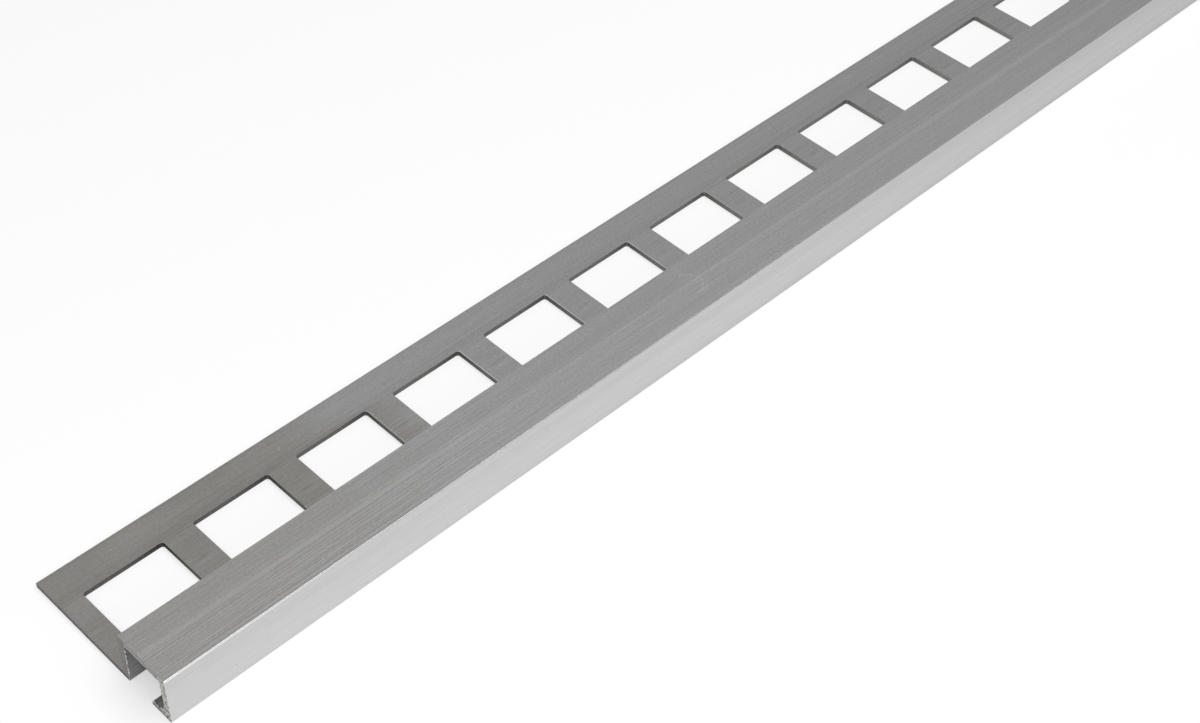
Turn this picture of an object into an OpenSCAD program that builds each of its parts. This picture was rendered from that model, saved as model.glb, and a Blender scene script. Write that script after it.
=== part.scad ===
// Square-edge tile trim, extruded in aluminium, with a punched anchoring flange.
// The trim lies as it is laid: flange and foot on the floor, face towards -Y, length along X.
// The origin is under the middle of the trim, on the plane that it rests on.

/* [Length] */
// Length of the sawn trim
trim_length = 1000; // [300:10:3000]

/* [Box section] */
// Height of the trim, which is the tile's thickness with its bed
trim_height = 10; // [8:0.5:15]
// Width of the visible top, from the face to the back of the web
top_width = 11.5; // [9:0.1:18]
// Thickness of the top
top_thickness = 1; // [0.8:0.1:1.6]
// Thickness of the web that the tile butts against
web_thickness = 1.2; // [0.8:0.1:1.6]
// Thickness of the upright face
face_thickness = 1.2; // [0.8:0.1:1.8]

/* [Foot] */
// Width of the foot that turns in under the face, from the face's front
foot_width = 4.6; // [4.2:0.1:5.4]
// Thickness of the foot
foot_thickness = 0.8; // [0.6:0.1:1.2]
// Radius of the fillet between the foot and the back of the face
foot_fillet = 1.6; // [0.4:0.1:1.8]

/* [Anchoring flange] */
// Reach of the flange behind the web
flange_reach = 23.2; // [20:0.1:40]
// Thickness of the flange
flange_thickness = 1; // [0.8:0.1:1.6]

/* [Punched holes] */
// Length of a hole along the trim
hole_length = 15; // [8:0.5:16.5]
// Width of a hole across the flange
hole_width = 12; // [8:0.5:12.5]
// Distance from one hole to the next
hole_pitch = 20.8; // [18:0.1:30]
// Radius of a hole's corners
hole_corner_radius = 0.5; // [0.3:0.1:3]
// Strip of flange left behind the holes
hole_back_margin = 6.7; // [3:0.1:7]
// Bar of flange left before the first hole
hole_end_margin = 4; // [2:0.5:12]
// Narrowest bar that is left after the last hole
hole_last_margin = 3; // [1:0.5:12]

/* [Edges] */
// Radius of the outer edges
outer_radius = 0.15; // [0.1:0.05:0.4]
// Radius of the fillets inside the extruded corners
inner_fillet = 0.4; // [0.1:0.05:0.8]

/* [Hidden] */
$fn = 48;

// How far a cutter runs past the faces that it cuts
cut_past = 1;
// Where the web starts, from the front of the face
web_front = top_width - web_thickness;
section_width = top_width + flange_reach;
hole_front = section_width - hole_back_margin - hole_width;
holes_span = trim_length - hole_end_margin - hole_length - hole_last_margin;
hole_count = floor(holes_span / hole_pitch) + 1;

// The sliver between a square corner and the arc of radius r inside it, with the corner at the
// origin and the arc towards the quadrant of the two signs. Added it fillets, removed it rounds.
module corner_sliver(r, side, up) {
    mirror([side < 0 ? 1 : 0, 0])
        mirror([0, up < 0 ? 1 : 0])
            difference() {
                square(r);
                translate([r, r]) circle(r);
            }
}

// The section's bars, each a plain rectangle from the face's front at 0 and the floor at 0.
module section_bars() {
    translate([0, trim_height - top_thickness]) square([top_width, top_thickness]);
    translate([web_front, 0]) square([web_thickness, trim_height]);
    square([face_thickness, trim_height]);
    square([foot_width, foot_thickness]);
    translate([web_front, 0]) square([section_width - web_front, flange_thickness]);
}

// Fillets in the corners where two bars meet.
module section_fillets() {
    translate([face_thickness, foot_thickness]) corner_sliver(foot_fillet, 1, 1);
    translate([face_thickness, trim_height - top_thickness]) corner_sliver(inner_fillet, 1, -1);
    translate([web_front, trim_height - top_thickness]) corner_sliver(inner_fillet, -1, -1);
    translate([top_width, flange_thickness]) corner_sliver(inner_fillet, 1, 1);
}

// Slivers that round the edges left by the extrusion die.
module section_roundings() {
    translate([0, trim_height]) corner_sliver(outer_radius, 1, -1);
    translate([top_width, trim_height]) corner_sliver(outer_radius, -1, -1);
    corner_sliver(outer_radius, 1, 1);
    translate([foot_width, foot_thickness]) corner_sliver(outer_radius, -1, -1);
    translate([web_front, 0]) corner_sliver(outer_radius, 1, 1);
    translate([section_width, flange_thickness]) corner_sliver(outer_radius, -1, -1);
}

// The extruded section, with Y across the trim and Z up.
module section() {
    difference() {
        union() {
            section_bars();
            section_fillets();
        }
        section_roundings();
    }
}

// Outline of one punched hole, with its corner at the origin.
module hole_outline() {
    difference() {
        square([hole_length, hole_width]);
        corner_sliver(hole_corner_radius, 1, 1);
        translate([hole_length, 0]) corner_sliver(hole_corner_radius, -1, 1);
        translate([0, hole_width]) corner_sliver(hole_corner_radius, 1, -1);
        translate([hole_length, hole_width]) corner_sliver(hole_corner_radius, -1, -1);
    }
}

// The row of holes through the flange, at the trim's own pitch.
module hole_row() {
    for (i = [0 : hole_count - 1])
        translate([hole_end_margin + i * hole_pitch, hole_front, -cut_past])
            linear_extrude(flange_thickness + 2 * cut_past)
                hole_outline();
}

// The whole trim: one extrusion, sawn to length and punched.
module edge_trim() {
    color("#a3a3a1")
        translate([-trim_length / 2, -section_width / 2, 0])
            difference() {
                rotate([90, 0, 90]) linear_extrude(trim_length) section();
                hole_row();
            }
}

edge_trim();
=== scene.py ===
"""Looks of a square-edge aluminium tile trim: its stock, its finishes and its stage."""

import math

import bmesh
import bpy
from mathutils import Matrix, Vector, noise


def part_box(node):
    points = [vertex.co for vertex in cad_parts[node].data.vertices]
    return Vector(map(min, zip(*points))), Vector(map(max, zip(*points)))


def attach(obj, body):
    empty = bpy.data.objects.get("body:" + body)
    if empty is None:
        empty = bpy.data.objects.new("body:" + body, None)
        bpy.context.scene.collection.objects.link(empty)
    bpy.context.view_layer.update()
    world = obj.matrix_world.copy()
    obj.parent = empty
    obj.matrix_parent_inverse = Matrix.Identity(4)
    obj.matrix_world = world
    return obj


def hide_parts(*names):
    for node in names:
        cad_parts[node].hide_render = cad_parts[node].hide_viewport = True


bl_info = {
    "name": "Tile edge trim",
    "version": (1, 0, 0),
    "blender": (4, 5, 0),
    "location": "View3D > Sidebar > Tile trim",
    "description": "Builds an aluminium tile edge trim with its finishes, and a studio stage for it",
    "category": "Object",
}

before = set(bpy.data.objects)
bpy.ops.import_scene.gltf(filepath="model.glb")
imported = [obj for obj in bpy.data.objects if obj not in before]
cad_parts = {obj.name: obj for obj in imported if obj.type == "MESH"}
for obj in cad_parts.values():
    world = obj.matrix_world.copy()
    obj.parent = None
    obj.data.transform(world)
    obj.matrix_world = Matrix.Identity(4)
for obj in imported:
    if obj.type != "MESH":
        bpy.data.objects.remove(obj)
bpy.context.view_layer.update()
LOW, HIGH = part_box("edge_trim")
BODY = "root"
STOCK_UV = "stock"
FINISHES = ("face_finish", "top_finish", "mill_finish", "punched_wall", "sawn_end", "sawn_burr")
FACE, TOP, MILL, PUNCHED, SAWN, BURR = range(len(FINISHES))


def length(name, description, default):
    """A property that holds a length in metres."""
    return bpy.props.FloatProperty(
        name=name, description=description, default=default, min=0.0, precision=5, unit="LENGTH"
    )


def angle(name, description, degrees):
    """A property that holds an angle."""
    return bpy.props.FloatProperty(
        name=name, description=description, default=math.radians(degrees), subtype="ANGLE"
    )


def colour(name, description, default):
    """A property that holds a colour in linear light."""
    return bpy.props.FloatVectorProperty(
        name=name, description=description, default=default, size=3, min=0.0, max=1.0, subtype="COLOR"
    )


def amount(name, description, default):
    """A property that holds a plain number from 0 up."""
    return bpy.props.FloatProperty(name=name, description=description, default=default, min=0.0)


class TrimSection(bpy.types.PropertyGroup):
    """Sizes of the extruded section"""

    top_width: length("Top width", "Visible top, from the face to the back of the web", 0.0115)
    top_thickness: length("Top thickness", "Thickness of the top", 0.001)
    web_thickness: length("Web thickness", "Thickness of the web under the top's back edge", 0.0012)
    face_thickness: length("Face thickness", "Thickness of the upright face", 0.0012)
    foot_width: length("Foot width", "Width of the foot, from the face's front", 0.0046)
    foot_thickness: length("Foot thickness", "Thickness of the foot", 0.0008)
    foot_fillet: length("Foot fillet", "Fillet between the foot and the face", 0.0016)
    flange_thickness: length("Flange thickness", "Thickness of the anchoring flange", 0.001)
    outer_radius: length("Outer radius", "Radius of the outer edges", 0.00015)
    inner_fillet: length("Inner fillet", "Radius of the fillets inside the corners", 0.0004)
    lower_radius: length("Lower radius", "Softening of the lower edges that the die leaves sharp", 0.0001)


class TrimPunching(bpy.types.PropertyGroup):
    """Sizes of the punched holes"""

    count: bpy.props.IntProperty(name="Holes", description="Number of holes", default=48, min=1)
    hole_length: length("Hole length", "Length of a hole along the trim", 0.015)
    hole_width: length("Hole width", "Width of a hole across the flange", 0.012)
    pitch: length("Pitch", "Distance from one hole to the next", 0.0208)
    corner_radius: length("Corner radius", "Radius of a hole's corners", 0.0005)
    back_margin: length("Back margin", "Strip of flange behind the holes", 0.0067)
    end_margin: length("End margin", "Bar of flange before the first hole", 0.004)
    roll: length("Punch roll", "Radius that the punch leaves on the upper edge of a hole", 0.00004)
    burnish: length("Burnish", "Height at which the smooth part of a hole's wall ends", 0.00055)
    flare: length("Flare", "Widening of a hole's lower edge where the metal tore", 0.00004)


class TrimSawing(bpy.types.PropertyGroup):
    """Sizes of the sawn ends' edges"""

    edge_break: length("Edge break", "Radius of the broken edges", 0.00006)
    chip: length("Chips", "Extra radius where the edge of the top is chipped", 0.0003)
    pushed: length("Pushed metal", "How far the saw has pushed the metal out into the hollow", 0.0005)
    burr: length("Burr", "Width of the burr on the pushed metal", 0.00011)
    unevenness: amount("Unevenness", "How much a broken edge or a burr varies, as a share of it", 1.2)


class TrimColours(bpy.types.PropertyGroup):
    """Colours of the finishes"""

    face: colour("Face", "The upright face", (0.656, 0.658, 0.658))
    # Colour of the painted highlight just below the face's upper edge near the end
    face_edge_highlight: colour("Face edge", "The face's upper edge where it is rubbed bright", (0.96, 0.96, 0.96))
    top: colour("Top", "The top", (0.702, 0.704, 0.702))
    top_stained: colour("Stained top", "The top where handling has stained it", (0.67, 0.659, 0.648))
    mill: colour("Mill", "The flange and the web", (0.638, 0.639, 0.641))
    mill_stained: colour("Stained mill", "The flange where handling has stained it", (0.52, 0.503, 0.469))
    # Painted shade: the inside of the hollow is coloured darker than its metal is
    hollow: colour("Hollow", "The inside of the hollow", (0.26, 0.258, 0.258))
    # Darker than torn metal alone: partly its own tone, partly painted shade inside the holes
    punched: colour("Punched", "Torn metal of the hole walls", (0.158, 0.152, 0.146))
    sawn: colour("Sawn", "Cut metal of the sawn ends", (0.384, 0.374, 0.364))
    # Bright partly as fresh metal, partly as a painted highlight
    burr: colour("Burr", "Bright metal of the burr", (0.9, 0.925, 0.945))


class TrimStage(bpy.types.PropertyGroup):
    """Camera, light and floor"""

    camera_offset: bpy.props.FloatVectorProperty(
        name="Camera place",
        description="Camera from the near lower corner of the face",
        default=(-0.08136, -0.16011, 0.25006),
        precision=5,
        subtype="TRANSLATION",
        unit="LENGTH",
    )
    azimuth: angle("Azimuth", "Direction that the camera looks in, from +Y towards +X", 46.555)
    elevation: angle("Elevation", "How far the camera looks down", 45.298)
    roll: angle("Roll", "Turn of the camera about its own axis", 2.543)
    lens: bpy.props.FloatProperty(name="Lens", description="Focal length in millimetres", default=60.819)
    floor_colour: colour("Floor", "Colour of the floor", (0.98, 0.98, 0.98))
    floor_white: amount("Floor white", "Share of the floor that shows white whatever the light", 0.5)
    world_light: amount("Room", "Brightness of the room", 0.335)
    overhead: amount("Overhead", "Power of the upper lamp in watts", 10.4)
    front: amount("Front", "Power of the front lamp in watts", 1.1)


def place(y):
    """A place across the section, from the face's front, as a Y in the frame."""
    return LOW.y + y


def section_width():
    """Whole width of the section, from the frame."""
    return HIGH.y - LOW.y


ARC_STEPS = 6


def quarter_turns(start=0.0):
    """Angles that divide a quarter turn, from a start in degrees."""
    return [math.radians(start + 90.0 * step / ARC_STEPS) for step in range(ARC_STEPS + 1)]


def corner_arc(before, corner, after, radius):
    """Points of the quarter arc that rounds a square corner of the section."""
    inward = (corner - before).normalized() * radius
    onward = (after - corner).normalized() * radius
    centre = corner - inward + onward
    return [centre - onward * math.cos(turn) + inward * math.sin(turn) for turn in quarter_turns()]


def section_corners(size):
    """Corners of the section round its outline: (y, z, radius, finish of the side that follows)."""
    width, height = section_width(), HIGH.z - LOW.z
    web_front = size.top_width - size.web_thickness
    under_top = height - size.top_thickness
    outer, inner = size.outer_radius, size.inner_fillet
    return [
        (0.0, 0.0, outer, FACE),
        (0.0, height, outer, TOP),
        (size.top_width, height, outer, MILL),
        (size.top_width, size.flange_thickness, inner, MILL),
        (width, size.flange_thickness, outer, MILL),
        (width, 0.0, size.lower_radius, MILL),
        (web_front, 0.0, outer, MILL),
        (web_front, under_top, inner, MILL),
        (size.face_thickness, under_top, inner, MILL),
        (size.face_thickness, size.foot_thickness, size.foot_fillet, MILL),
        (size.foot_width, size.foot_thickness, outer, MILL),
        (size.foot_width, 0.0, size.lower_radius, MILL),
    ]


# Sides of the section, named by the corner that they follow
TOP_SIDE = 1
FLANGE_TOP_SIDE = 3
FLANGE_UNDERSIDE = 5
WEB_INSIDE = 6
UNDER_TOP_SIDE = 7
FACE_INSIDE = 8
FOOT_TOP_SIDE = 9
SAWN_STEP = 0.00015


class Section:
    """Outline of the section as points round it, with the finish and the side that follow each point."""

    def __init__(self, size, breaks):
        corners = section_corners(size)
        self.points = []
        self.finishes = []
        self.sides = []
        self.breaks = {}
        self.side_starts = []
        for index, (y, z, radius, finish) in enumerate(corners):
            corner = Vector((y, z))
            before = Vector(corners[index - 1][:2])
            after = Vector(corners[(index + 1) % len(corners)][:2])
            arc = corner_arc(before, corner, after, radius)
            finer = min(finish, corners[index - 1][3])
            self.add(arc[:-1], finer, index)
            self.add(arc[-1:], finish, index)
            self.side_starts.append((len(self.points) - 1, radius))
            if index in (FLANGE_TOP_SIDE, FLANGE_UNDERSIDE):
                outward = after.x > corner.x
                first = len(self.points)
                ordered = breaks if outward else breaks[::-1]
                self.add([Vector((y_break, z)) for y_break in ordered], finish, index)
                found = list(range(first, len(self.points)))
                self.breaks[index] = found if outward else found[::-1]
        self.along = [0.0]
        for here, there in zip(self.points, self.points[1:] + self.points[:1]):
            self.along.append(self.along[-1] + (there - here).length)

    def add(self, points, finish, side):
        """Adds points to the outline, all with one finish after them."""
        self.points.extend(points)
        self.finishes.extend([finish] * len(points))
        self.sides.extend([side] * len(points))

    def place_on(self, side, distance):
        """Place round the outline of a point on one side, at a distance from the corner that it follows."""
        start, radius = self.side_starts[side]
        return self.along[start] + distance - radius

    def run(self, point):
        """Closely spaced points from one outline point up to the next: (point, place round, side)."""
        here, there = self.points[point], self.points[(point + 1) % len(self.points)]
        span = (there - here).length
        steps = max(1, round(span / SAWN_STEP))
        shares = [step / steps for step in range(steps)]
        side, start = self.sides[point], self.along[point]
        return [(here.lerp(there, share), start + span * share, side) for share in shares]


RING_MARGIN = 0.001


class Hole:
    """One punched hole: its sides along the trim and across it, from the near end and the face's front."""

    def __init__(self, punching, index):
        self.x0 = punching.end_margin + index * punching.pitch
        self.x1 = self.x0 + punching.hole_length
        self.y1 = section_width() - punching.back_margin
        self.y0 = self.y1 - punching.hole_width
        self.radius = punching.corner_radius

    def stations(self):
        """Places along the trim where the stock around the hole is divided."""
        return [
            self.x0 - RING_MARGIN,
            self.x0 + self.radius,
            self.x1 - self.radius,
            self.x1 + RING_MARGIN,
        ]

    def breaks(self):
        """Places across the flange where the stock around the hole is divided."""
        return [
            self.y0 - RING_MARGIN,
            self.y0 + self.radius,
            self.y1 - self.radius,
            self.y1 + RING_MARGIN,
        ]

    def corner_points(self, offset):
        """Points of the hole's four corners at an offset into the metal, from the near front one round."""
        near, far = self.x0 + self.radius, self.x1 - self.radius
        front, back = self.y0 + self.radius, self.y1 - self.radius
        centres = [(near, front, 180.0), (far, front, 270.0), (far, back, 0.0), (near, back, 90.0)]
        radius = self.radius + offset
        corners = []
        for x, y, start in centres:
            turns = quarter_turns(start)
            corners.append([(x + radius * math.cos(turn), y + radius * math.sin(turn)) for turn in turns])
        return corners


class StockMesh:
    """Mesh of the trim while it is put together, with UVs in metres along and across the stock."""

    def __init__(self, section, stations):
        self.bm = bmesh.new()
        self.uv = self.bm.loops.layers.uv.new(STOCK_UV)
        self.section = section
        self.stations = stations
        self.grid = {}
        self.sawn_ends = {}

    def vertex(self, x, y, z):
        """A new vertex at a place given from the near end, the face's front and the floor."""
        return self.bm.verts.new((LOW.x + x, place(y), LOW.z + z))

    def node(self, station, point):
        """The vertex of one outline point at one station, made when it is first asked for."""
        key = (station, point)
        if key not in self.grid:
            here = self.section.points[point]
            self.grid[key] = self.vertex(self.stations[station], here.x, here.y)
        return self.grid[key]

    def face(self, corners, finish):
        """Adds a face through corners, each a vertex and its UV."""
        face = self.bm.faces.new([vertex for vertex, _ in corners])
        face.material_index = finish
        face.smooth = True
        for loop, (_, uv) in zip(face.loops, corners):
            loop[self.uv].uv = uv

    def side_uv(self, station, point):
        """UV of an outline point, where the count may run one past the last point."""
        return (self.stations[station], self.section.along[point])

    def side_edge(self, station, point):
        """Corners at a station from one outline point to the next, with those between at a sawn end."""
        if station in self.sawn_ends:
            return self.sawn_ends[station].side_edge(point)
        count = len(self.section.points)
        return [(self.node(station, p % count), self.side_uv(station, p)) for p in (point, point + 1)]

    def sides(self, skipped):
        """Faces along the stock, but for the (station, point) pairs that are skipped."""
        for station in range(len(self.stations) - 1):
            for point, finish in enumerate(self.section.finishes):
                if (station, point) not in skipped:
                    onward = self.side_edge(station + 1, point)
                    self.face(self.side_edge(station, point) + onward[::-1], finish)


# Sides in the hollow that carry a burr
BURR_SIDES = (WEB_INSIDE, UNDER_TOP_SIDE, FACE_INSIDE, FOOT_TOP_SIDE)
# Sizes of the lumps that make the edges uneven
LUMP = 0.0005
COARSE_LUMP = 2.0 * LUMP
# How strongly a lump chips the top's edge, and the strength below which it doesn't
CHIP_GAIN = 2.5
CHIP_START = 0.4
PUSHED_SPREAD = 0.0012
# Least shares that unevenness leaves of a broken edge, of a burr, and of a burr that fades out
LEAST_UNEVEN_BREAK = 0.1
LEAST_UNEVEN_BURR = 0.2
LEAST_BURR = 0.2
# Shares of a burr's width: how far it stands out, and where its tip starts
BURR_OVERHANG = 0.7
BURR_SHOULDER = 0.3
EDGE_STEPS = 3
# Share of the upper corner's fillet that the pushed metal under the top may fill
FILLET_SHARE = 0.9
# Share of the rounding at the web's foot that stays clear of the burr
ROUNDING_SHARE = 0.5


def closeness(place_at, target, spread):
    """1 at a target, falling evenly to 0 at a spread away from it."""
    return max(0.0, 1.0 - abs(place_at - target) / spread)


class SawnEnd:
    """One sawn end: the flat cut, and the broken edge or the burr between it and the stock's sides."""

    def __init__(self, stock, station, into, size, sawing):
        section = stock.section
        self.sawing = sawing
        self.web_front = size.top_width - size.web_thickness
        self.face_back = size.face_thickness
        self.under_top = HIGH.z - LOW.z - size.top_thickness
        self.deepest = FILLET_SHARE * size.inner_fillet
        self.lowest = ROUNDING_SHARE * size.outer_radius
        self.seed = 10.0 * station
        self.total = section.along[-1]
        x = stock.stations[station]
        runs = [section.run(point) for point in range(len(section.points))]
        ring = [item for run in runs for item in run]
        self.starts = [0]
        for run in runs:
            self.starts.append(self.starts[-1] + len(run))
        rows = []
        for index, (here, along, side) in enumerate(ring):
            tangent = ring[(index + 1) % len(ring)][0] - ring[index - 1][0]
            inward = Vector((tangent.y, -tangent.x)).normalized()
            row = []
            for inset, depth in self.profile(here, side):
                spot = here + inward * inset
                row.append((stock.vertex(x + into * depth, spot.x, spot.y), tuple(spot)))
            rows.append(row)
        self.edges = []
        for row, (_, along, _) in zip(rows, ring):
            vertex, _ = row[-1]
            self.edges.append((vertex, (vertex.co.x - LOW.x, along)))
        for index, row in enumerate(rows):
            onward = rows[(index + 1) % len(rows)]
            finish = BURR if ring[index][2] in BURR_SIDES else SAWN
            for level in range(EDGE_STEPS):
                stock.face([row[level + 1], onward[level + 1], onward[level], row[level]], finish)
        stock.face([row[0] for row in rows], SAWN)
        stock.sawn_ends[station] = self

    def ripple(self, here, size):
        """Unevenness at a place of the outline, in lumps of a size."""
        return noise.noise(Vector((here.x / size, here.y / size, self.seed)))

    def uneven(self, here, least):
        """Factor that makes an edge uneven at a place of the outline, and no less than a least one."""
        return max(least, 1.0 + self.sawing.unevenness * self.ripple(here, LUMP))

    def profile(self, here, side):
        """Rings of the edge at a place, from the cut to the side: (distance inside the outline, depth)."""
        if side in BURR_SIDES and here.y > self.lowest:
            return self.burr_profile(here, side)
        radius = self.sawing.edge_break * self.uneven(here, LEAST_UNEVEN_BREAK)
        if side == TOP_SIDE:
            radius += self.sawing.chip * max(0.0, CHIP_GAIN * self.ripple(here, COARSE_LUMP) - CHIP_START)
        turns = [math.radians(90.0 * step / EDGE_STEPS) for step in range(EDGE_STEPS + 1)]
        return [(radius * (1.0 - math.sin(turn)), radius * (1.0 - math.cos(turn))) for turn in turns]

    def burr_shares(self, here, side):
        """Shares of the pushed metal and of the burr at a place on a side of the hollow."""
        rise = here.y / (HIGH.z - LOW.z)
        lumps = max(0.0, 2.0 * self.ripple(here, COARSE_LUMP))
        if side == WEB_INSIDE:
            at_top = closeness(here.y, self.under_top, PUSHED_SPREAD)
            return rise * (1.0 - 0.35 * at_top), max(LEAST_BURR, min(1.0, 5.0 * rise))
        if side == UNDER_TOP_SIDE:
            at_web = closeness(here.x, self.web_front, PUSHED_SPREAD)
            return 0.6 * at_web, max(LEAST_BURR, at_web)
        if side == FACE_INSIDE:
            return 0.9 * lumps * (1.0 - rise), 0.6
        at_face = closeness(here.x, self.face_back, 2.0 * PUSHED_SPREAD)
        return 0.2 + 0.9 * lumps * at_face, 2.4

    def burr_profile(self, here, side):
        """Rings of the edge where the saw has pushed metal out into the hollow and left a burr on it."""
        pushed_share, burr_share = self.burr_shares(here, side)
        pushed = self.sawing.pushed * pushed_share
        burr = self.sawing.burr * burr_share * self.uneven(here, LEAST_UNEVEN_BURR)
        tip = -pushed - BURR_OVERHANG * burr
        if side == UNDER_TOP_SIDE:
            tip = max(tip, -self.deepest)
        return [(-pushed, 0.0), (tip, BURR_SHOULDER * burr), (tip, burr), (0.0, pushed + burr)]

    def side_edge(self, point):
        """Corners of the stock's side at this end, from one outline point to the next."""
        last = self.starts[point + 1]
        corners = self.edges[self.starts[point] : last + 1]
        if last == len(self.edges):
            vertex, (x, _) = self.edges[0]
            corners = corners + [(vertex, (x, self.total))]
        return corners


def hole_levels(size, punching):
    """Rings of a hole's wall from the top down: (offset into the metal, height)."""
    top, roll = size.flange_thickness, punching.roll
    turns = quarter_turns()
    rolled = [(roll * (1.0 - math.sin(turn)), top - roll * (1.0 - math.cos(turn))) for turn in turns]
    return rolled + [(0.0, punching.burnish), (punching.flare, 0.0)]


def add_hole_plane(stock, first, points, ring):
    """Flat metal round a hole on one side of the flange, between its ring and the divided stock."""
    section = stock.section
    p0, p1, p2, p3 = points
    s0, s1, s2, s3 = range(first, first + 4)
    rims = [
        ((s0, p1), (s0, p0), (s1, p0)),
        ((s2, p0), (s3, p0), (s3, p1)),
        ((s3, p2), (s3, p3), (s2, p3)),
        ((s1, p3), (s0, p3), (s0, p2)),
    ]
    lead = section.along[p0]
    sense = 1.0 if section.along[p3] > lead else -1.0

    def rim(key):
        return stock.node(*key), stock.side_uv(*key)

    def inner(vertex):
        across = vertex.co.y - place(section.points[p0].x)
        return vertex, (vertex.co.x - LOW.x, lead + sense * across)

    for index, corner in enumerate(rims):
        arc = ring[index]
        onward = ring[(index + 1) % 4][0]
        leads = rims[(index + 1) % 4][0]
        stock.face([rim(key) for key in corner] + [inner(vertex) for vertex in reversed(arc)], MILL)
        stock.face([rim(corner[2]), rim(leads), inner(onward), inner(arc[-1])], MILL)


def add_hole(stock, hole, first, levels):
    """One punched hole: the flat metal round it, its rolled upper edge and its wall."""
    rings = []
    for offset, height in levels:
        corners = hole.corner_points(offset)
        rings.append([[stock.vertex(x, y, height) for x, y in corner] for corner in corners])
    add_hole_plane(stock, first, stock.section.breaks[FLANGE_TOP_SIDE], rings[0])
    add_hole_plane(stock, first, stock.section.breaks[FLANGE_UNDERSIDE], rings[-1])
    for upper, lower in zip(rings, rings[1:]):
        above = [vertex for corner in upper for vertex in corner]
        below = [vertex for corner in lower for vertex in corner]
        round_hole = 0.0
        for index in range(len(above)):
            onward = (index + 1) % len(above)
            step = (above[onward].co - above[index].co).length
            ring = (
                (above[index], round_hole),
                (below[index], round_hole),
                (below[onward], round_hole + step),
                (above[onward], round_hole + step),
            )
            wall = [(vertex, (hole.x0 + place_round, vertex.co.z)) for vertex, place_round in ring]
            stock.face(wall, PUNCHED)
            round_hole += step


def build_trim_mesh(size, punching, sawing):
    """The whole trim as one closed mesh."""
    trim_length = HIGH.x - LOW.x
    holes = [Hole(punching, index) for index in range(punching.count)]
    stations = [0.0] + [x for hole in holes for x in hole.stations()] + [trim_length]
    section = Section(size, holes[0].breaks())
    stock = StockMesh(section, stations)
    skipped = set()
    for index, hole in enumerate(holes):
        first = 1 + 4 * index
        add_hole(stock, hole, first, hole_levels(size, punching))
        for points in section.breaks.values():
            starts = sorted(points)[:3]
            skipped.update((first + step, point) for step in range(3) for point in starts)
    SawnEnd(stock, 0, 1.0, size, sawing)
    SawnEnd(stock, len(stations) - 1, -1.0, size, sawing)
    stock.sides(skipped)
    bmesh.ops.recalc_face_normals(stock.bm, faces=stock.bm.faces)
    mesh = bpy.data.meshes.new("trim_stock")
    stock.bm.to_mesh(mesh)
    stock.bm.free()
    return mesh


SHARP_ANGLE = math.radians(35.0)
NORMALS_WEIGHT = 100


class TILETRIM_OT_stock(bpy.types.Operator):
    """Build the extruded, punched and sawn trim"""

    bl_idname = "tiletrim.stock"
    bl_label = "Trim stock"

    def execute(self, context):
        scene = context.scene
        mesh = build_trim_mesh(scene.trim_section, scene.trim_punching, scene.trim_sawing)
        mesh.set_sharp_from_angle(angle=SHARP_ANGLE)
        for name in FINISHES:
            mesh.materials.append(bpy.data.materials[name])
        stock = bpy.data.objects.new("trim_stock", mesh)
        scene.collection.objects.link(stock)
        normals = stock.modifiers.new("flat_faces", "WEIGHTED_NORMAL")
        normals.keep_sharp = True
        normals.weight = NORMALS_WEIGHT
        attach(stock, BODY)
        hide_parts("edge_trim")
        return {"FINISHED"}


def new_group(name, inputs, outputs):
    """A new node group with named inputs and outputs. Returns its tree, its inputs and its results."""
    tree = bpy.data.node_groups.new(name, "ShaderNodeTree")
    for socket_name, kind in inputs:
        tree.interface.new_socket(name=socket_name, in_out="INPUT", socket_type=kind)
    for socket_name, kind in outputs:
        tree.interface.new_socket(name=socket_name, in_out="OUTPUT", socket_type=kind)
    start = add_node(tree, "NodeGroupInput")
    end = add_node(tree, "NodeGroupOutput")
    return tree, start.outputs, end.inputs


def add_node(tree, kind, **values):
    """Adds a node and sets its own values."""
    node = tree.nodes.new(kind)
    for name, value in values.items():
        setattr(node, name, value)
    return node


def feed(tree, socket, value):
    """Links a socket into an input, or sets a value on it."""
    if isinstance(value, bpy.types.NodeSocket):
        tree.links.new(value, socket)
    else:
        socket.default_value = value


def use_group(tree, name, **values):
    """Places a node group and feeds its inputs, named with underscores for spaces. Returns its outputs."""
    node = add_node(tree, "ShaderNodeGroup", node_tree=bpy.data.node_groups[name])
    for socket_name, value in values.items():
        feed(tree, node.inputs[socket_name.replace("_", " ")], value)
    return node.outputs


def calculate(tree, operation, *values):
    """A math node on inputs that are sockets or numbers. Returns its output."""
    node = add_node(tree, "ShaderNodeMath", operation=operation)
    for socket, value in zip(node.inputs, values):
        feed(tree, socket, value)
    return node.outputs["Value"]


def map_range(tree, value, low, high, to_low=0.0, to_high=1.0):
    """Maps a value smoothly from one range to another. Returns the result."""
    node = add_node(tree, "ShaderNodeMapRange", interpolation_type="SMOOTHSTEP")
    ranges = {"Value": value, "From Min": low, "From Max": high, "To Min": to_low, "To Max": to_high}
    for name, number in ranges.items():
        feed(tree, node.inputs[name], number)
    return node.outputs["Result"]


def split(tree, vector):
    """The X and Y of a vector."""
    node = add_node(tree, "ShaderNodeSeparateXYZ")
    tree.links.new(vector, node.inputs["Vector"])
    return node.outputs["X"], node.outputs["Y"]


def join(tree, *parts):
    """A vector from its parts."""
    node = add_node(tree, "ShaderNodeCombineXYZ")
    for socket, part in zip(node.inputs, parts):
        feed(tree, socket, part)
    return node.outputs["Vector"]


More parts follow.
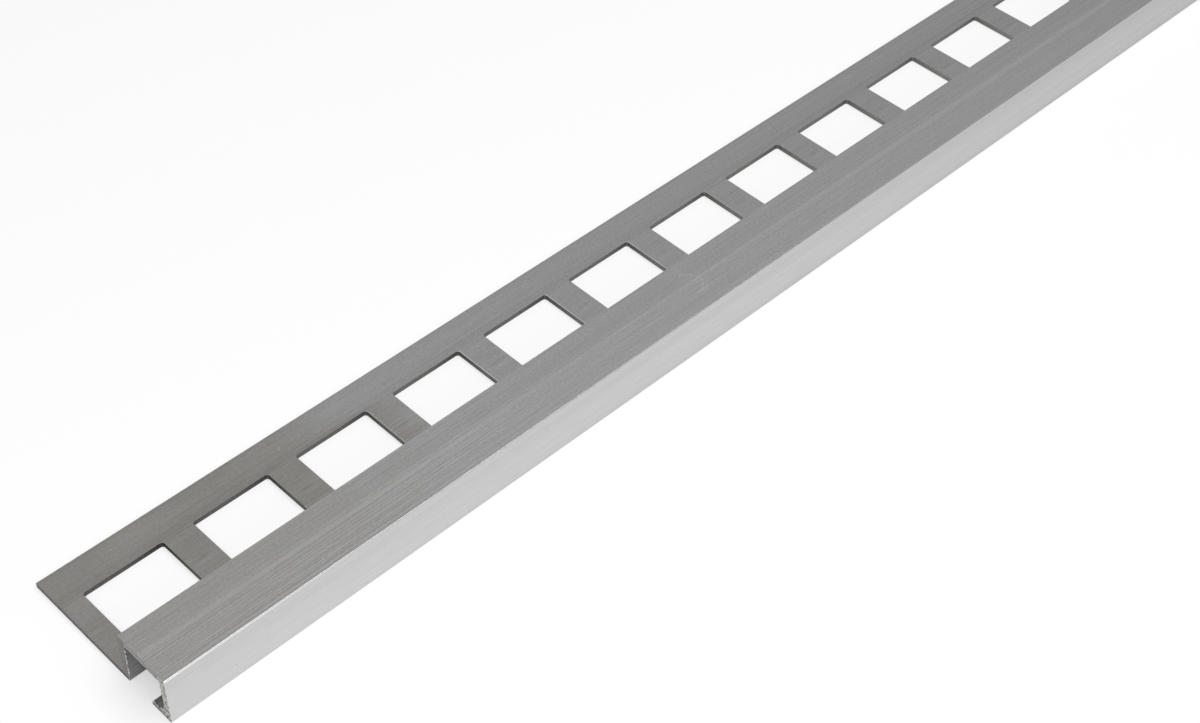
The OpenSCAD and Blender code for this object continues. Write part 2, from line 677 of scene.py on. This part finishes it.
def stretched_noise(tree, vector, long, wide, seed, detail, roughness=0.5):
    """Noise with features of one size along the stock and another across it, in metres."""
    along, across = split(tree, vector)
    net = join(tree, calculate(tree, "DIVIDE", along, long), calculate(tree, "DIVIDE", across, wide), seed)
    node = add_node(tree, "ShaderNodeTexNoise", noise_dimensions="3D")
    for name, value in {"Vector": net, "Scale": 1.0, "Detail": detail, "Roughness": roughness}.items():
        feed(tree, node.inputs[name], value)
    return node.outputs["Fac"]


def product(tree, first, *others):
    """Product of values."""
    for other in others:
        first = calculate(tree, "MULTIPLY", first, other)
    return first


def difference(tree, first, second):
    """A value less another."""
    return calculate(tree, "SUBTRACT", first, second)


NOISE_MIDDLE = 0.5


def weighted(tree, value, weight):
    """How far a noise lies from its middle, times a weight."""
    return product(tree, difference(tree, value, NOISE_MIDDLE), weight)


def total(tree, first, *others):
    """Sum of values."""
    for other in others:
        first = calculate(tree, "ADD", first, other)
    return first


def stripe(tree, value, middle, half_width):
    """A soft stripe where a value is near its middle."""
    away = calculate(tree, "ABSOLUTE", difference(tree, value, middle))
    return map_range(tree, away, half_width, 0.0)


FLOAT, VECTOR = "NodeSocketFloat", "NodeSocketVector"
SCORE_LENGTH = 0.1
SCORE_WIDTH = 0.0002
# How far aside the second noise lies, as a share of a score's width
SCORE_SHIFT = 0.65


def fine_scores(tree, vector, seed):
    """Fine parallel scores: what is left of a noise when the same noise, moved aside, is taken from it."""
    aside = add_node(tree, "ShaderNodeVectorMath", operation="ADD")
    feed(tree, aside.inputs[0], vector)
    feed(tree, aside.inputs[1], (0.0, SCORE_SHIFT * SCORE_WIDTH, 0.0))
    places = (vector, aside.outputs["Vector"])
    here, there = (stretched_noise(tree, spot, SCORE_LENGTH, SCORE_WIDTH, seed, 1.0) for spot in places)
    return total(tree, difference(tree, here, there), NOISE_MIDDLE)


def die_lines_group():
    """Marks of extrusion: bands, lines, fine scores and short streaks along the stock, and fine grain."""
    weights = ("Bands", "Lines", "Scores", "Streaks", "Grain")
    inputs = [("Vector", VECTOR), ("Seed", FLOAT)] + [(name, FLOAT) for name in weights]
    tree, given, result = new_group("Die lines", inputs, [("Shade", FLOAT), ("Height", FLOAT)])
    vector, seed = given["Vector"], given["Seed"]
    bands = stretched_noise(tree, vector, 0.6, 0.003, seed, 2.0)
    lines = stretched_noise(tree, vector, 0.16, 0.0004, seed, 3.0, 0.7)
    scores = fine_scores(tree, vector, seed)
    streaks = stretched_noise(tree, vector, 0.006, 0.0003, seed, 2.0, 0.6)
    grain = stretched_noise(tree, vector, 0.0006, 0.0004, seed, 3.0, 0.65)
    marks = (bands, lines, scores, streaks, grain)
    parts = [weighted(tree, mark, given[name]) for name, mark in zip(weights, marks)]
    feed(tree, result["Shade"], total(tree, 1.0, *parts))
    feed(tree, result["Height"], total(tree, lines, streaks))


def stain_group():
    """A handled patch near the sawn end, with a cloudy edge."""
    inputs = [("Vector", VECTOR), ("Seed", FLOAT), ("Reach", FLOAT), ("Edge", FLOAT)]
    tree, given, result = new_group("Stain", inputs, [("Mask", FLOAT)])
    along, _ = split(tree, given["Vector"])
    cloud = stretched_noise(tree, given["Vector"], 0.02, 0.008, given["Seed"], 3.0)
    shifted = total(tree, along, weighted(tree, cloud, product(tree, given["Edge"], 4.0)))
    far = total(tree, given["Reach"], given["Edge"])
    near = difference(tree, given["Reach"], given["Edge"])
    covered = map_range(tree, shifted, far, near)
    blotchy = map_range(tree, cloud, 0.3, 0.7, 0.65, 1.25)
    feed(tree, result["Mask"], product(tree, covered, blotchy))


def marks_group():
    """Small marks scattered over the stock, at most one in each cell of a net."""
    names = ("Seed", "Cell Length", "Cell Width", "Mark Length", "Mark Width", "Slant", "Share")
    inputs = [("Vector", VECTOR)] + [(name, FLOAT) for name in names]
    tree, given, result = new_group("Marks", inputs, [("Mask", FLOAT)])
    along, across = split(tree, given["Vector"])
    net_along = total(tree, calculate(tree, "DIVIDE", along, given["Cell Length"]), given["Seed"])
    net_across = total(tree, calculate(tree, "DIVIDE", across, given["Cell Width"]), given["Seed"])
    cells = add_node(tree, "ShaderNodeTexVoronoi", voronoi_dimensions="2D", feature="F1")
    feed(tree, cells.inputs["Vector"], join(tree, net_along, net_across))
    feed(tree, cells.inputs["Scale"], 1.0)
    middle_along, middle_across = split(tree, cells.outputs["Position"])
    draws = add_node(tree, "ShaderNodeSeparateColor")
    feed(tree, draws.inputs["Color"], cells.outputs["Color"])
    pick, turn, size = (draws.outputs[name] for name in ("Red", "Green", "Blue"))
    off_along = difference(tree, net_along, middle_along)
    off_along = product(tree, off_along, given["Cell Length"])
    off_across = difference(tree, net_across, middle_across)
    off_across = product(tree, off_across, given["Cell Width"])
    lean = product(tree, weighted(tree, turn, given["Slant"]), off_across)
    scale = map_range(tree, size, 0.0, 1.0, 0.5, 1.2)
    long_share = calculate(tree, "DIVIDE", total(tree, off_along, lean), given["Mark Length"])
    wide_share = calculate(tree, "DIVIDE", off_across, product(tree, given["Mark Width"], scale))
    sizes = [calculate(tree, "ABSOLUTE", share) for share in (long_share, wide_share)]
    squares = [calculate(tree, "POWER", share, 2.0) for share in sizes]
    shape = map_range(tree, total(tree, *squares), 1.0, 0.2)
    chosen = calculate(tree, "LESS_THAN", pick, given["Share"])
    strength = map_range(tree, turn, 0.0, 1.0, 0.4, 1.0)
    feed(tree, result["Mask"], product(tree, shape, chosen, strength))


def mix_colours(tree, factor, first, second):
    """A colour between two, each a socket or a colour, by a factor. Returns the result."""
    mix = add_node(tree, "ShaderNodeMix", data_type="RGBA")
    sockets = [socket for socket in mix.inputs if socket.type == "RGBA"]
    feed(tree, mix.inputs["Factor"], factor)
    for socket, value in zip(sockets, (first, second)):
        feed(tree, socket, value if isinstance(value, bpy.types.NodeSocket) else (*value, 1.0))
    return next(socket for socket in mix.outputs if socket.type == "RGBA")


def shaded(tree, colour_in, shade):
    """A colour made lighter or darker by a factor. Returns the result."""
    node = add_node(tree, "ShaderNodeVectorMath", operation="SCALE")
    feed(tree, node.inputs["Vector"], colour_in)
    feed(tree, node.inputs["Scale"], shade)
    return node.outputs["Vector"]


EDGE_TINT = (0.45, 0.45, 0.45, 1.0)


def metal_material(name, roughness):
    """A new material with a metal shader. Returns the tree, its shader and the stock's UV."""
    material = bpy.data.materials.new(name)
    material.use_nodes = True
    tree = material.node_tree
    shader = tree.nodes["Principled BSDF"]
    shader.inputs["Metallic"].default_value = 1.0
    shader.inputs["Roughness"].default_value = roughness
    shader.inputs["Specular Tint"].default_value = EDGE_TINT
    uv = add_node(tree, "ShaderNodeUVMap", uv_map=STOCK_UV)
    return tree, shader, uv.outputs["UV"]


def add_bump(tree, shader, height, distance):
    """Fine relief from a height."""
    bump = add_node(tree, "ShaderNodeBump")
    feed(tree, bump.inputs["Distance"], distance)
    feed(tree, bump.inputs["Height"], height)
    feed(tree, shader.inputs["Normal"], bump.outputs["Normal"])


def vary_roughness(tree, shader, value, low, high, at_low, at_high):
    """Changes the shader's roughness by one step where a value is low, and by another where it is high."""
    plain = shader.inputs["Roughness"].default_value
    varied = map_range(tree, value, low, high, plain + at_low, plain + at_high)
    feed(tree, shader.inputs["Roughness"], varied)


def scatter(tree, uv, seed, cell, mark, slant, share):
    """Small marks over the stock, from the length and width of a cell and of a mark. Returns their mask."""
    lengths = {"Cell_Length": cell[0], "Mark_Length": mark[0]}
    widths = {"Cell_Width": cell[1], "Mark_Width": mark[1]}
    marks = use_group(tree, "Marks", Vector=uv, Seed=seed, Slant=slant, Share=share, **lengths, **widths)
    return marks["Mask"]


def weighed(tree, marks):
    """Shades of masks, each given with its weight."""
    return [product(tree, mask, weight) for mask, weight in marks]


DRAWN_ROUGHNESS = 0.38
MILL_ROUGHNESS = 0.42
CUT_ROUGHNESS = 0.5
BURR_ROUGHNESS = 0.35
# Depths of the fine relief
LINE_DEPTH = 0.00001
WALL_DEPTH = 0.00003
SAWN_DEPTH = 0.00004
BURR_DEPTH = 0.00003


def finish_drawn(tree, shader, tint, shade, height):
    """Joins the parts of an extruded finish to its shader."""
    feed(tree, shader.inputs["Base Color"], shaded(tree, tint, shade))
    vary_roughness(tree, shader, height, 0.8, 1.2, 0.04, -0.04)
    add_bump(tree, shader, height, LINE_DEPTH)


# Shares of a dried drop's radius: how far its ring wobbles, half the ring's width and where it fades in
DROP_WOBBLE = 0.5
DROP_RING = 0.12
DROP_FADE = 0.6
DROP_GRAIN = 0.0015


def dried_drop(tree, uv, along, across, radius):
    """A fine pale ring where a drop dried, round a place on the stock, plainest on its far side."""
    away = add_node(tree, "ShaderNodeVectorMath", operation="DISTANCE")
    feed(tree, away.inputs[0], uv)
    feed(tree, away.inputs[1], (along, across, 0.0))
    wobble = stretched_noise(tree, uv, DROP_GRAIN, DROP_GRAIN, along / radius, 2.0)
    uneven = total(tree, away.outputs["Value"], weighted(tree, wobble, DROP_WOBBLE * radius))
    ring = stripe(tree, uneven, radius, DROP_RING * radius)
    from_end, _ = split(tree, uv)
    return product(tree, ring, map_range(tree, from_end, along - DROP_FADE * radius, along))


FACE_LINES_REACH = 0.06
# Reach along the trim and half width of the painted highlight below the face's upper edge
EDGE_HIGHLIGHT_REACH = 0.045
EDGE_HIGHLIGHT_HALF = 0.00032


def face_finish(colours, section):
    """The upright face: faint die lines, a few dark nicks, a painted highlight under its upper edge at the
    end and painted shade on that edge.
    """
    tree, shader, uv = metal_material("face_finish", DRAWN_ROUGHNESS)
    along, across = split(tree, uv)
    weight = map_range(tree, along, FACE_LINES_REACH, 0.0, 0.18, 0.4)
    weights = {"Bands": 0.1, "Lines": weight, "Scores": 0.15, "Streaks": 0.08, "Grain": 0.1}
    lines = use_group(tree, "Die lines", Vector=uv, Seed=4.0, **weights)
    nicks = scatter(tree, uv, 7.0, cell=(0.006, 0.003), mark=(0.00016, 0.0003), slant=0.8, share=0.3)
    nicked = product(tree, nicks, -0.2)
    arris = section.place_on(TOP_SIDE, 0.0)
    # Painted highlight: a bright strip just below the upper edge, fading out along the trim
    rub_mark_and_highlight = stripe(tree, across, arris - 0.00015, EDGE_HIGHLIGHT_HALF)
    rub_mark_and_highlight = product(tree, rub_mark_and_highlight, map_range(tree, along, EDGE_HIGHLIGHT_REACH, 0.0))
    # Painted shade on the rounded upper edge, holding back its reflection of the lamps
    painted_arris_shade = map_range(tree, across, arris - 0.0001, arris, 0.0, -0.12)
    upper = map_range(tree, across, arris - 0.0045, arris - 0.0006, 0.0, -0.04)
    lower = map_range(tree, across, arris - 0.0078, arris - 0.01, 0.0, -0.07)
    lower = product(tree, lower, map_range(tree, along, 0.0, 0.12))
    tint = mix_colours(tree, rub_mark_and_highlight, colours.face, colours.face_edge_highlight)
    shade = total(tree, lines["Shade"], nicked, painted_arris_shade, upper, lower)
    finish_drawn(tree, shader, tint, shade, lines["Height"])


TOP_LINES_REACH = 0.1
TOP_STAIN_REACH = 0.046
TOP_STAIN_EDGE = 0.014
# Places across the top, from the face's front
TOP_BAND = 0.0061
TOP_BACK_START = 0.0066
TOP_BACK_END = 0.0079
TOP_LINE = 0.00925
DROP_ALONG = 0.1159
DROP_RADIUS = 0.00236


def top_finish(colours, section):
    """The top: die lines that show most at the end, a pale band, a dark line, nicks and a dried drop."""
    tree, shader, uv = metal_material("top_finish", DRAWN_ROUGHNESS)
    along, across = split(tree, uv)
    line_weight = map_range(tree, along, TOP_LINES_REACH, 0.0, 0.06, 0.22)
    score_weight = map_range(tree, along, TOP_LINES_REACH, 0.0, 0.35, 0.85)
    weights = {"Bands": 0.12, "Lines": line_weight, "Scores": score_weight, "Streaks": 0.16, "Grain": 0.5}
    lines = use_group(tree, "Die lines", Vector=uv, Seed=4.0, **weights)
    nicks = scatter(tree, uv, 2.0, cell=(0.007, 0.003), mark=(0.0001, 0.0007), slant=0.6, share=0.2)
    stain = use_group(tree, "Stain", Vector=uv, Seed=1.0, Reach=TOP_STAIN_REACH, Edge=TOP_STAIN_EDGE)
    places = (TOP_BAND, TOP_BACK_START, TOP_BACK_END, TOP_LINE)
    band_at, back_start, back_end, line_at = (section.place_on(TOP_SIDE, spot) for spot in places)
    band = stripe(tree, across, band_at, 0.001)
    back = map_range(tree, across, back_start, back_end)
    line = stripe(tree, across, line_at, 0.0004)
    drop = dried_drop(tree, uv, DROP_ALONG, band_at, DROP_RADIUS)
    marks = ((band, 0.11), (back, -0.025), (line, -0.05), (nicks, -0.12), (drop, 0.17))
    shade = total(tree, lines["Shade"], *weighed(tree, marks))
    tint = mix_colours(tree, stain["Mask"], colours.top, colours.top_stained)
    finish_drawn(tree, shader, tint, shade, lines["Height"])


# Reach of the flange's stain along the bars, and along the strip behind the holes
BAR_STAIN_REACH = 0.066
STRIP_STAIN_REACH = 0.05
# Place of the punch's rub mark on the bars, in front of the holes' back edge
RUB_MARK = 0.0066
# Where along the trim the painted highlight on the holes' rims starts, and where it ends
RIM_HIGHLIGHT_START = (0.05, 0.064)
RIM_HIGHLIGHT_END = (0.17, 0.12)
# How far inside the hollow its painted shade starts to darken it, and where it is darkest
HOLLOW_DARKENS = (0.0003, 0.0048)


def mill_finish(colours, section, punching, size):
    """The flange, the web and the hollow: stained near the end, with the punch's rub marks, painted
    highlights on some holes' rims, painted shade in the hollow and painted light on the foot's top.
    """
    tree, shader, uv = metal_material("mill_finish", MILL_ROUGHNESS)
    along, across = split(tree, uv)
    inside = calculate(tree, "GREATER_THAN", across, section.place_on(WEB_INSIDE, 0.0))
    weight = map_range(tree, inside, 0.0, 1.0, 0.32, 1.8)
    weights = {"Bands": 0.22, "Lines": weight, "Scores": 0.4, "Streaks": 0.16, "Grain": 0.5}
    lines = use_group(tree, "Die lines", Vector=uv, Seed=11.0, **weights)
    flecks = scatter(tree, uv, 5.0, cell=(0.004, 0.002), mark=(0.0003, 0.00014), slant=2.0, share=0.3)
    hole_back = section_width() - punching.back_margin - size.top_width
    bars_end = section.place_on(FLANGE_TOP_SIDE, hole_back)
    reach = map_range(tree, across, bars_end, bars_end + 0.001, BAR_STAIN_REACH, STRIP_STAIN_REACH)
    stain = use_group(tree, "Stain", Vector=uv, Seed=3.0, Reach=reach, Edge=0.01)
    punched_zone = map_range(tree, across, bars_end + 0.0014, bars_end + 0.002, 1.0, 0.0)
    bars = map_range(tree, across, bars_end - 0.001, bars_end, 0.5, 1.0)
    punched_zone = product(tree, punched_zone, bars)
    rub_line = section.place_on(FLANGE_TOP_SIDE, hole_back - RUB_MARK)
    rub_mark_and_highlight = stripe(tree, across, rub_line, 0.0006)
    rub_mark_and_highlight = difference(tree, rub_mark_and_highlight, stripe(tree, across, rub_line - 0.0009, 0.0003))
    bar = difference(tree, along, punching.end_margin + punching.hole_length)
    bar = calculate(tree, "FLOORED_MODULO", bar, punching.pitch)
    bar_middle = 0.5 * (punching.pitch - punching.hole_length)
    rub_mark_and_highlight = product(tree, rub_mark_and_highlight, stripe(tree, bar, bar_middle, 0.0022))
    beside_holes = calculate(tree, "GREATER_THAN", across, section.place_on(FLANGE_TOP_SIDE, 0.0))
    beside_holes = product(tree, beside_holes, calculate(tree, "LESS_THAN", across, bars_end))
    # Painted highlight on the far rim of some holes, where their rolled edges would catch the light
    painted_rim_highlight = product(tree, stripe(tree, bar, 0.00012, 0.00024), beside_holes)
    run = (map_range(tree, along, *RIM_HIGHLIGHT_START), map_range(tree, along, *RIM_HIGHLIGHT_END))
    painted_rim_highlight = product(tree, painted_rim_highlight, product(tree, *run))
    flange_end = section.place_on(FLANGE_TOP_SIDE, section_width() - size.top_width)
    back_edge = map_range(tree, across, flange_end - 0.0013, flange_end - 0.0003)
    back_edge = product(tree, back_edge, calculate(tree, "LESS_THAN", across, flange_end))
    # Painted shade that grows into the hollow from each end
    depth = calculate(tree, "MINIMUM", along, difference(tree, HIGH.x - LOW.x, along))
    painted_depth_shade = product(tree, inside, map_range(tree, depth, *HOLLOW_DARKENS))
    # Painted light on the foot's top, lifting it out of the hollow's painted shade
    painted_foot_light = calculate(tree, "GREATER_THAN", across, section.place_on(FOOT_TOP_SIDE, 0.0))
    marks = (
        (punched_zone, -0.09),
        (rub_mark_and_highlight, -0.1),
        (painted_rim_highlight, 0.5),
        (flecks, 0.3),
        (back_edge, -0.05),
        (painted_depth_shade, -0.5),
        (painted_foot_light, 2.4),
    )
    shade = total(tree, lines["Shade"], *weighed(tree, marks))
    tint = mix_colours(tree, stain["Mask"], colours.mill, colours.mill_stained)
    # Inside the hollow the colour turns to the hollow's painted shade
    tint = mix_colours(tree, inside, tint, colours.hollow)
    finish_drawn(tree, shader, tint, shade, lines["Height"])


def punched_wall(colours, punching):
    """Walls of the holes, dark partly with painted shade: rough and paler below, where they tore, with more
    painted shade in the far back corner and near the trim's end, and painted light further along.
    """
    tree, shader, uv = metal_material("punched_wall", CUT_ROUGHNESS)
    _, height = split(tree, uv)
    mottle = stretched_noise(tree, uv, 0.0003, 0.0004, 3.0, 3.0)
    scores = stretched_noise(tree, uv, 0.00015, 0.002, 6.0, 2.0)
    torn = map_range(tree, height, punching.burnish + 0.0001, punching.burnish - 0.0001)
    # Painted shade, darkest in each hole's far back corner and a little lighter away from it
    hole = Hole(punching, 0)
    x, y = split(tree, add_node(tree, "ShaderNodeTexCoord").outputs["Object"])
    along = difference(tree, x, LOW.x)
    in_pitch = calculate(tree, "FLOORED_MODULO", difference(tree, along, hole.x0), punching.pitch)
    from_far = difference(tree, punching.hole_length, in_pitch)
    from_back = difference(tree, place(hole.y1), y)
    corner = map_range(tree, calculate(tree, "MAXIMUM", from_far, from_back), 0.0, 0.008, -0.35, 0.12)
    # Painted shade on the walls near the trim's end and painted light further along, for the light falling
    # off along the trim
    painted_shade_near_end = map_range(tree, along, 0.07, 0.0, 0.0, -0.32)
    painted_light_farther = map_range(tree, along, 0.06, 0.22, 0.0, 0.45)
    shade = total(tree, 0.9, weighted(tree, mottle, 0.9), weighted(tree, scores, 0.5))
    shade = total(tree, shade, product(tree, torn, 0.25), corner, painted_shade_near_end, painted_light_farther)
    feed(tree, shader.inputs["Base Color"], shaded(tree, tuple(colours.punched), shade))
    vary_roughness(tree, shader, torn, 0.0, 1.0, -0.1, 0.1)
    add_bump(tree, shader, total(tree, mottle, scores), WALL_DEPTH)


def sawn_end(colours, size):
    """The flat cut of the ends: saw marks and torn specks, palest at the face and darkest at the flange."""
    tree, shader, uv = metal_material("sawn_end", CUT_ROUGHNESS)
    saw_marks = stretched_noise(tree, uv, 0.0012, 0.00012, 8.0, 2.0)
    mottle = stretched_noise(tree, uv, 0.00055, 0.0007, 3.0, 3.0, 0.6)
    from_face, height = split(tree, uv)
    face_end = map_range(tree, from_face, size.face_thickness, 2.0 * size.face_thickness, 0.4, 0.08)
    web_front = size.top_width - size.web_thickness
    web_end = map_range(tree, from_face, web_front - 0.0008, web_front, 0.0, -0.3)
    # Darker towards the bottom of the ends, below the flange's top
    darker_below = map_range(tree, height, 0.8 * size.flange_thickness, 0.4 * size.flange_thickness, 0.0, -0.42)
    hollow_middle = 0.5 * (size.face_thickness + web_front)
    lip = stripe(tree, height, HIGH.z - LOW.z - size.top_thickness, 0.00022)
    off_middle = calculate(tree, "ABSOLUTE", difference(tree, from_face, hollow_middle))
    over_hollow = calculate(tree, "LESS_THAN", off_middle, web_front - hollow_middle)
    lip = product(tree, lip, over_hollow, -0.35)
    blotches = weighted(tree, mottle, map_range(tree, from_face, 0.0012, 0.003, 6.5, 0.8))
    shade = total(tree, 1.0, face_end, web_end, darker_below, lip, weighted(tree, saw_marks, 0.6), blotches)
    feed(tree, shader.inputs["Base Color"], shaded(tree, tuple(colours.sawn), shade))
    vary_roughness(tree, shader, mottle, 0.3, 0.7, 0.1, -0.1)
    add_bump(tree, shader, total(tree, saw_marks, mottle), SAWN_DEPTH)


def sawn_burr(colours):
    """The uneven metal of the burr at the sawn ends, bright partly of itself and partly with a painted
    highlight and painted glints.
    """
    tree, shader, uv = metal_material("sawn_burr", BURR_ROUGHNESS)
    mottle = stretched_noise(tree, uv, 0.0004, 0.0004, 5.0, 2.0)
    # Strong mottle that leaves bright specks: partly painted glints
    shade = calculate(tree, "MAXIMUM", total(tree, 0.8, weighted(tree, mottle, 3.2)), 0.4)
    feed(tree, shader.inputs["Base Color"], shaded(tree, tuple(colours.burr), shade))
    vary_roughness(tree, shader, mottle, 0.3, 0.7, 0.1, -0.07)
    add_bump(tree, shader, mottle, BURR_DEPTH)


class TILETRIM_OT_finishes(bpy.types.Operator):
    """Make the finishes of the trim's faces, holes and ends"""

    bl_idname = "tiletrim.finishes"
    bl_label = "Finishes"

    def execute(self, context):
        scene = context.scene
        colours, size, punching = scene.trim_colours, scene.trim_section, scene.trim_punching
        section = Section(size, Hole(punching, 0).breaks())
        die_lines_group()
        stain_group()
        marks_group()
        face_finish(colours, section)
        top_finish(colours, section)
        mill_finish(colours, section, punching, size)
        punched_wall(colours, punching)
        sawn_end(colours, size)
        sawn_burr(colours)
        return {"FINISHED"}


def camera_matrix(stage):
    """Place and turn of the camera."""
    azimuth, elevation = stage.azimuth, stage.elevation
    level = math.cos(elevation)
    forward = Vector((math.sin(azimuth) * level, math.cos(azimuth) * level, -math.sin(elevation)))
    level_right = Vector((math.cos(azimuth), -math.sin(azimuth), 0.0))
    level_up = level_right.cross(forward)
    right = level_right * math.cos(stage.roll) + level_up * math.sin(stage.roll)
    up = right.cross(forward)
    turn = Matrix((right, up, -forward)).transposed().to_4x4()
    return Matrix.Translation(LOW + Vector(stage.camera_offset)) @ turn


FLOOR_HALF = 20.0
FLOOR_GAP = 0.00005
FLOOR_FACE = (0, 1, 2, 3)


def floor_material(stage):
    """A plain pale floor without gloss, partly white by itself, which takes the trim's shadow."""
    material = bpy.data.materials.new("floor")
    material.use_nodes = True
    tree = material.node_tree
    shader = tree.nodes["Principled BSDF"]
    shader.inputs["Base Color"].default_value = (*stage.floor_colour, 1.0)
    shader.inputs["Roughness"].default_value = 1.0
    shader.inputs["Specular IOR Level"].default_value = 0.0
    white = add_node(tree, "ShaderNodeEmission")
    rays = add_node(tree, "ShaderNodeLightPath").outputs
    seen = calculate(tree, "MAXIMUM", rays["Is Camera Ray"], rays["Is Glossy Ray"])
    seen = calculate(tree, "MAXIMUM", seen, rays["Is Transmission Ray"])
    mix = add_node(tree, "ShaderNodeMixShader")
    feed(tree, mix.inputs["Fac"], product(tree, seen, stage.floor_white))
    feed(tree, mix.inputs[1], shader.outputs["BSDF"])
    feed(tree, mix.inputs[2], white.outputs["Emission"])
    feed(tree, tree.nodes["Material Output"].inputs["Surface"], mix.outputs["Shader"])
    return material


def add_floor(stage):
    """A plain floor under the trim."""
    mesh = bpy.data.meshes.new("floor")
    half = FLOOR_HALF
    corners = [(-half, -half, 0.0), (half, -half, 0.0), (half, half, 0.0), (-half, half, 0.0)]
    mesh.from_pydata(corners, [], [FLOOR_FACE])
    mesh.materials.append(floor_material(stage))
    floor = bpy.data.objects.new("floor", mesh)
    floor.location.z = LOW.z - FLOOR_GAP
    bpy.context.scene.collection.objects.link(floor)


def add_softbox(name, place_at, aim, size, power):
    """A rectangular lamp that faces a point."""
    data = bpy.data.lights.new(name, "AREA")
    data.shape = "RECTANGLE"
    data.size, data.size_y = size
    data.energy = power
    lamp = bpy.data.objects.new(name, data)
    lamp.location = place_at
    lamp.rotation_euler = (Vector(aim) - Vector(place_at)).to_track_quat("-Z", "Y").to_euler()
    bpy.context.scene.collection.objects.link(lamp)


SENSOR_WIDTH = 36.0
CLIP_START = 0.01
# Places of the lamps from the near end, and their sizes
OVERHEAD_PLACE = Vector((-0.05, -0.35, 1.0))
OVERHEAD_SIZE = (1.4, 0.8)
FRONT_PLACE = Vector((-0.1, -0.85, 0.55))
FRONT_SIZE = (0.5, 0.4)
DOWN = Vector((0.0, 0.0, -1.0))
WHITE = (1.0, 1.0, 1.0, 1.0)


class TILETRIM_OT_stage(bpy.types.Operator):
    """Set the camera, the floor and the light"""

    bl_idname = "tiletrim.stage"
    bl_label = "Stage"

    def execute(self, context):
        scene = context.scene
        stage = scene.trim_stage
        data = bpy.data.cameras.new("camera")
        data.lens = stage.lens
        data.sensor_width = SENSOR_WIDTH
        data.sensor_fit = "HORIZONTAL"
        data.clip_start = CLIP_START
        camera = bpy.data.objects.new("camera", data)
        camera.matrix_world = camera_matrix(stage)
        scene.collection.objects.link(camera)
        scene.camera = camera
        add_floor(stage)
        world = bpy.data.worlds.new("room")
        world.use_nodes = True
        background = world.node_tree.nodes["Background"]
        background.inputs["Color"].default_value = WHITE
        background.inputs["Strength"].default_value = stage.world_light
        scene.world = world
        near = Vector((LOW.x, 0.0, 0.0))
        over = near + OVERHEAD_PLACE
        add_softbox("overhead", over, over + DOWN, OVERHEAD_SIZE, stage.overhead)
        add_softbox("front", near + FRONT_PLACE, near, FRONT_SIZE, stage.front)
        scene.view_settings.view_transform = "Standard"
        return {"FINISHED"}


class TILETRIM_PT_panel(bpy.types.Panel):
    """Steps that build the trim"""

    bl_idname = "TILETRIM_PT_panel"
    bl_label = "Tile edge trim"
    bl_space_type = "VIEW_3D"
    bl_region_type = "UI"
    bl_category = "Tile trim"

    def draw(self, context):
        for operator in (TILETRIM_OT_finishes, TILETRIM_OT_stock, TILETRIM_OT_stage):
            self.layout.operator(operator.bl_idname)


GROUPS = (
    ("trim_section", TrimSection),
    ("trim_punching", TrimPunching),
    ("trim_sawing", TrimSawing),
    ("trim_colours", TrimColours),
    ("trim_stage", TrimStage),
)
CLASSES = (TILETRIM_OT_finishes, TILETRIM_OT_stock, TILETRIM_OT_stage, TILETRIM_PT_panel)


def register():
    """Adds the properties, the operators and the panel."""
    for name, group in GROUPS:
        bpy.utils.register_class(group)
        setattr(bpy.types.Scene, name, bpy.props.PointerProperty(type=group))
    for item in CLASSES:
        bpy.utils.register_class(item)


def unregister():
    """Takes them away again."""
    for item in reversed(CLASSES):
        bpy.utils.unregister_class(item)
    for name, group in reversed(GROUPS):
        delattr(bpy.types.Scene, name)
        bpy.utils.unregister_class(group)


def main():
    """Builds the trim and its stage."""
    register()
    bpy.ops.tiletrim.stage()
    bpy.ops.tiletrim.finishes()
    bpy.ops.tiletrim.stock()


if __name__ == "__main__":
    main()
